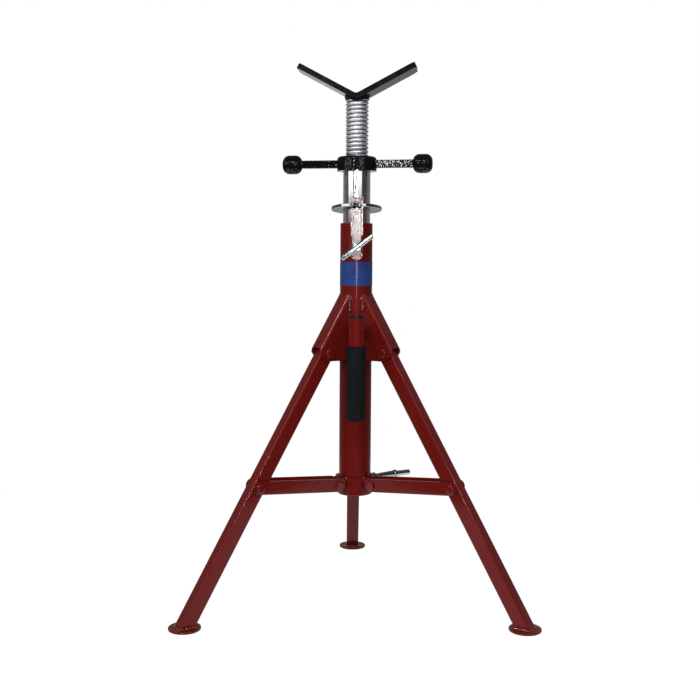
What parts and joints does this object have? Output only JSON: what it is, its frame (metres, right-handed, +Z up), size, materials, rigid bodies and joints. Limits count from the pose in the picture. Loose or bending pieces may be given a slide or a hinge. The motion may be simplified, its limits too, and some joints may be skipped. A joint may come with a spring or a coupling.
{
  "type": "pipe jack stand",
  "caption": "Folding three-leg pipe stand with a V head on a jack screw, a handled nut, a pinned inner tube and struts on a sliding collar.",
  "frame": {"origin": "on the floor under the column's axis", "axes": "+Z up along the column, -Y towards the side with the carry handle and the locking pin, +X to the right seen from that side"},
  "size_m": [0.6232, 0.547, 0.953],
  "materials": {
    "red_paint": "gloss",
    "zinc": "satin",
    "black_paint": "gloss",
    "blue_band": "gloss",
    "grip_rubber": "matte",
    "black_plastic": "gloss"
  },
  "bodies": {
    "column": {"column_tube": "red_paint", "column_stop_ring": "red_paint", "ring_bracket": "red_paint", "name_band": "blue_band", "carry_tube": "red_paint", "carry_cap": "black_plastic", "carry_grip": "grip_rubber", "carry_stub": "red_paint", "leg_bracket_rear": "red_paint", "leg_bolt_rear": "red_paint", "leg_bracket_left": "red_paint", "leg_bolt_left": "red_paint", "leg_bracket_right": "red_paint", "leg_bolt_right": "red_paint"},
    "inner": {"inner_tube": "zinc"},
    "ring": {"friction_ring": "zinc"},
    "pin": {"locking_pin": "zinc", "pin_handle": "zinc"},
    "nut": {"handle_nut": "black_paint"},
    "screw": {"jack_screw": "zinc", "head_collar": "black_paint", "v_head": "black_paint"},
    "collar": {"collar_ring": "red_paint", "plunger_barrel": "zinc", "collar_lug_rear": "red_paint", "collar_bolt_rear": "red_paint", "collar_lug_left": "red_paint", "collar_bolt_left": "red_paint", "collar_lug_right": "red_paint", "collar_bolt_right": "red_paint"},
    "plunger": {"lock_plunger": "zinc"},
    "leg_rear": {"leg_tube_rear": "red_paint", "foot_disc_rear": "red_paint"},
    "strut_rear": {"strut_rear": "red_paint", "strut_stud_a_rear": "red_paint", "strut_stud_b_rear": "red_paint"},
    "leg_left": {"leg_tube_left": "red_paint", "foot_disc_left": "red_paint"},
    "strut_left": {"strut_left": "red_paint", "strut_stud_a_left": "red_paint", "strut_stud_b_left": "red_paint"},
    "leg_right": {"leg_tube_right": "red_paint", "foot_disc_right": "red_paint"},
    "strut_right": {"strut_right": "red_paint", "strut_stud_a_right": "red_paint", "strut_stud_b_right": "red_paint"}
  },
  "joints": [
    {"name": "collar_slide", "type": "slide", "parent": "column", "child": "collar", "axis": [0, 0, 1], "range_m": [0, 0.12945]},
    {"name": "leg_fold_rear", "type": "hinge", "parent": "column", "child": "leg_rear", "pos_m": [0, 0.0625, 0.452], "axis": [-1, 0, 0], "range_deg": [0, 30.65]},
    {"name": "strut_swing_rear", "type": "hinge", "parent": "collar", "child": "strut_rear", "pos_m": [0, 0.041, 0.2146], "axis": [-1, 0, 0], "range_deg": [0, 86.48]},
    {"name": "leg_fold_left", "type": "hinge", "parent": "column", "child": "leg_left", "pos_m": [-0.05413, -0.03125, 0.452], "axis": [0.5, -0.866, 0], "range_deg": [0, 30.65]},
    {"name": "strut_swing_left", "type": "hinge", "parent": "collar", "child": "strut_left", "pos_m": [-0.03551, -0.0205, 0.2146], "axis": [0.5, -0.866, 0], "range_deg": [0, 86.48]},
    {"name": "leg_fold_right", "type": "hinge", "parent": "column", "child": "leg_right", "pos_m": [0.05413, -0.03125, 0.452], "axis": [0.5, 0.866, 0], "range_deg": [0, 30.65]},
    {"name": "strut_swing_right", "type": "hinge", "parent": "collar", "child": "strut_right", "pos_m": [0.03551, -0.0205, 0.2146], "axis": [0.5, 0.866, 0], "range_deg": [0, 86.48]},
    {"name": "tube_slide", "type": "slide", "parent": "column", "child": "inner", "axis": [0, 0, 1], "range_m": [0, 0.3]},
    {"name": "nut_turn", "type": "hinge", "parent": "inner", "child": "nut", "pos_m": [0, 0, 0.7817], "axis": [0, 0, -1], "range_deg": [-2880, 2520]},
    {"name": "screw_rise", "type": "slide", "parent": "inner", "child": "screw", "axis": [0, 0, 1], "range_m": [-0.0561, 0.0491]},
    {"name": "ring_tilt", "type": "hinge", "parent": "column", "child": "ring", "pos_m": [0, -0.04421, 0.70904], "axis": [1, 0, 0], "range_deg": [0, 6.5]},
    {"name": "pin_pull", "type": "slide", "parent": "column", "child": "pin", "axis": [0, -1, 0], "range_m": [0, 0.06]},
    {"name": "plunger_push", "type": "slide", "parent": "collar", "child": "plunger", "axis": [-0.866, -0.5, 0], "range_m": [0, 0.0048]}
  ],
  "couplings": [
    {"joint": "leg_fold_rear", "follows": "collar_slide", "rad_per_m": 4.1329},
    {"joint": "strut_swing_rear", "follows": "collar_slide", "rad_per_m": 11.66},
    {"joint": "leg_fold_left", "follows": "collar_slide", "rad_per_m": 4.1329},
    {"joint": "strut_swing_left", "follows": "collar_slide", "rad_per_m": 11.66},
    {"joint": "leg_fold_right", "follows": "collar_slide", "rad_per_m": 4.1329},
    {"joint": "strut_swing_right", "follows": "collar_slide", "rad_per_m": 11.66},
    {"joint": "screw_rise", "follows": "nut_turn", "m_per_rad": 0.0011141}
  ]
}
